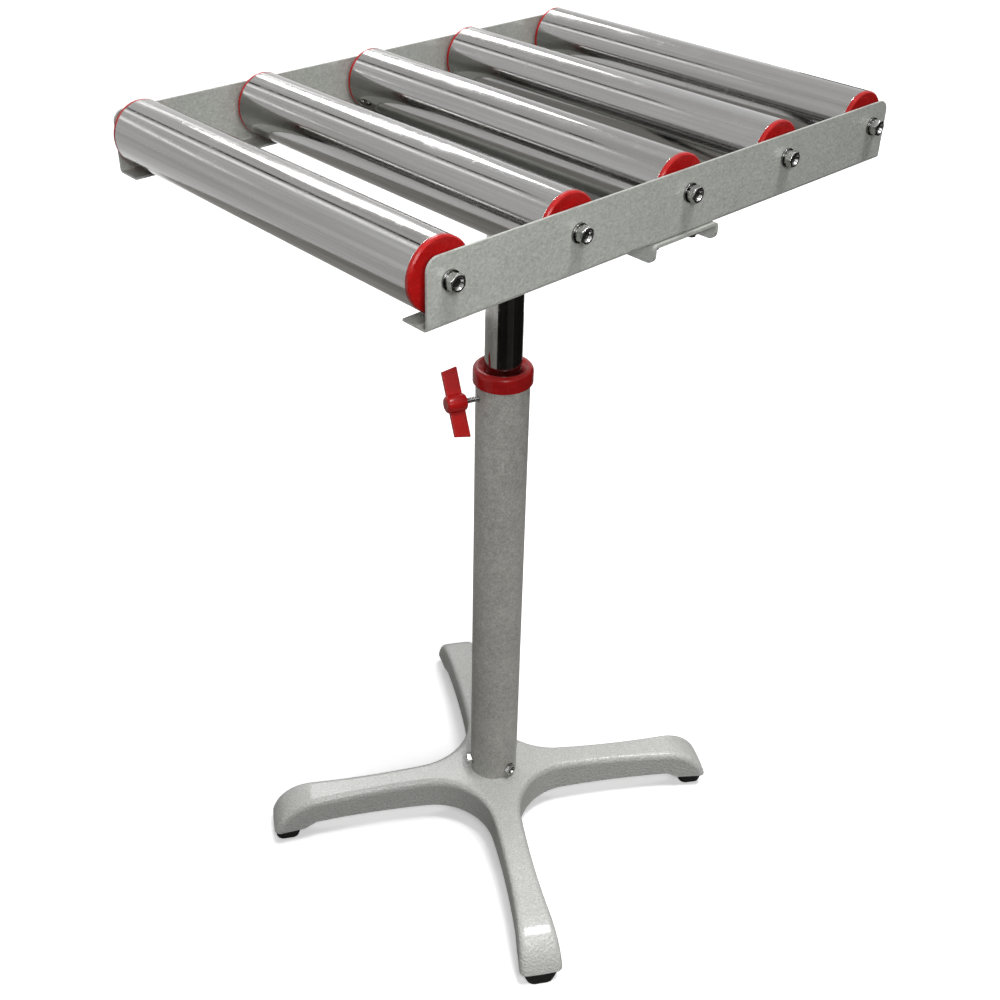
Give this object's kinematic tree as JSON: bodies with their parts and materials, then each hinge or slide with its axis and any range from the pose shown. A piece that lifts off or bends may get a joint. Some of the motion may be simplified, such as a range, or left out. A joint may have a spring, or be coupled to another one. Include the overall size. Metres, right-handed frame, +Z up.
{
  "type": "pipe roller support",
  "caption": "Height-adjustable roller support stand: free-running rollers between two angle rails on a clamped telescopic column with a cast cross base.",
  "frame": {"origin": "on the floor, on the axis of the column, at the centre of the part's footprint", "axes": "+Z up along the column, +X along the rails in the feed direction, +Y along the roller axes"},
  "size_m": [0.5652, 0.4816, 0.887],
  "materials": {
    "base_enamel": "glossy light grey enamel on a rough casting",
    "column_paint": "satin mid-grey paint with a fine speckle",
    "rail_paint": "satin light grey powder coat",
    "roller_steel": "bright drawn steel, polished along its length",
    "post_chrome": "polished chrome plate",
    "zinc_steel": "bright zinc plate",
    "bearing_steel": "ground steel",
    "axle_steel": "drawn steel bar",
    "red_plastic": "glossy red moulded plastic",
    "black_rubber": "matte black rubber",
    "black_nylon": "matte black nylon",
    "white_nylon": "natural white nylon",
    "weld_steel": "weld bead under the rail paint"
  },
  "bodies": {
    "stand": {"base_casting": "base_enamel", "column_tube": "column_paint", "collar_bush": "red_plastic", "column_bolts": "zinc_steel", "clamp_nut": "zinc_steel", "foot_screws": "zinc_steel", "rubber_foot_1": "black_rubber", "rubber_foot_2": "black_rubber", "rubber_foot_3": "black_rubber", "rubber_foot_4": "black_rubber"},
    "pad": {"clamp_pad": "white_nylon"},
    "clamp": {"clamp_screw": "zinc_steel", "wing_handle": "red_plastic"},
    "guide": {"post_guide_bush": "white_nylon"},
    "head": {"axle_bolts": "zinc_steel", "axle_plain_washers": "zinc_steel", "axle_spacers": "zinc_steel", "axle_spring_washers": "zinc_steel", "bearing_inner_rings": "bearing_steel", "inner_post": "post_chrome", "post_end_plug": "black_nylon", "post_snap_ring": "zinc_steel", "post_weld": "weld_steel", "rail_front": "rail_paint", "rail_rear": "rail_paint", "roller_axle_1": "axle_steel", "roller_axle_2": "axle_steel", "roller_axle_3": "axle_steel", "roller_axle_4": "axle_steel", "roller_axle_5": "axle_steel", "saddle_bolts": "zinc_steel", "saddle_channel": "rail_paint", "saddle_nuts": "zinc_steel", "saddle_washers": "zinc_steel"},
    "roller_1": {"roller_tube_1": "roller_steel", "roller_caps_1": "red_plastic", "roller_bearings_1": "bearing_steel"},
    "roller_2": {"roller_tube_2": "roller_steel", "roller_caps_2": "red_plastic", "roller_bearings_2": "bearing_steel"},
    "roller_3": {"roller_tube_3": "roller_steel", "roller_caps_3": "red_plastic", "roller_bearings_3": "bearing_steel"},
    "roller_4": {"roller_tube_4": "roller_steel", "roller_caps_4": "red_plastic", "roller_bearings_4": "bearing_steel"},
    "roller_5": {"roller_tube_5": "roller_steel", "roller_caps_5": "red_plastic", "roller_bearings_5": "bearing_steel"}
  },
  "joints": [
    {"name": "lift", "type": "slide", "parent": "stand", "child": "guide", "axis": [0, 0, 1], "range_m": [-0.175, 0.25]},
    {"name": "swivel", "type": "hinge", "parent": "guide", "child": "head", "pos_m": [0, 0, 0.824], "axis": [0, 0, 1], "continuous": true},
    {"name": "clamp_slide", "type": "slide", "parent": "stand", "child": "pad", "axis": [-0.9542, 0.299, 0], "range_m": [0, 0.00075]},
    {"name": "clamp_turn", "type": "hinge", "parent": "pad", "child": "clamp", "pos_m": [-0.04962, 0.01555, 0.5865], "axis": [-0.9542, 0.299, 0], "range_deg": [0, 270]},
    {"name": "roller_1_spin", "type": "hinge", "parent": "head", "child": "roller_1", "pos_m": [-0.254, 0, 0.85842], "axis": [0, 1, 0], "continuous": true},
    {"name": "roller_2_spin", "type": "hinge", "parent": "head", "child": "roller_2", "pos_m": [-0.127, 0, 0.85842], "axis": [0, 1, 0], "continuous": true},
    {"name": "roller_3_spin", "type": "hinge", "parent": "head", "child": "roller_3", "pos_m": [0, 0, 0.85842], "axis": [0, 1, 0], "continuous": true},
    {"name": "roller_4_spin", "type": "hinge", "parent": "head", "child": "roller_4", "pos_m": [0.127, 0, 0.85842], "axis": [0, 1, 0], "continuous": true},
    {"name": "roller_5_spin", "type": "hinge", "parent": "head", "child": "roller_5", "pos_m": [0.254, 0, 0.85842], "axis": [0, 1, 0], "continuous": true}
  ],
  "couplings": [
    {"joint": "clamp_slide", "follows": "clamp_turn", "m_per_rad": 0.00015915}
  ]
}
